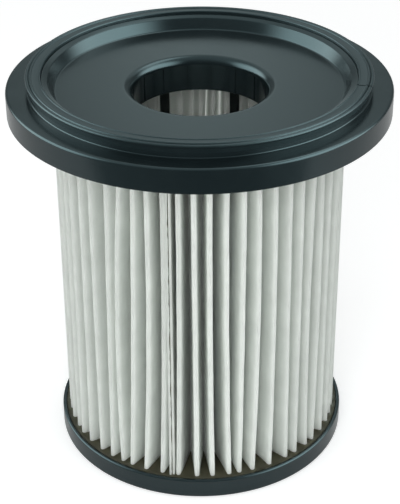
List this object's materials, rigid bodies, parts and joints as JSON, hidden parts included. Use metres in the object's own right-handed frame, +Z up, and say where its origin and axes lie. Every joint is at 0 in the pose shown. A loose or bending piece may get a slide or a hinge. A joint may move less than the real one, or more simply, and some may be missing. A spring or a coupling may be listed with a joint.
{
  "type": "cylinder vacuum cartridge filter",
  "caption": "Pleated cartridge filter for a cylinder vacuum cleaner: a flanged top cap with a sealing strip and round outlet, a cage inside the pleats, and a closed base.",
  "frame": {"origin": "centre of the underside, where the foot ring stands", "axes": "+Z up the filter's axis, from the closed base to the flange and the outlet; -Y is the side that the picture faces"},
  "size_m": [0.125, 0.125, 0.1355],
  "materials": {
    "cap_plastic": "gloss",
    "seal_rubber": "satin",
    "cage_plastic": "satin",
    "filter_fleece": "matte",
    "bedding_glue": "satin"
  },
  "bodies": {
    "root": {"top_cap": "cap_plastic", "rim_seal": "seal_rubber", "core_cage": "cage_plastic", "pleat_pack": "filter_fleece", "seam_bond": "bedding_glue", "top_potting": "bedding_glue", "bottom_potting": "bedding_glue", "bottom_cap": "cap_plastic"}
  },
  "joints": []
}
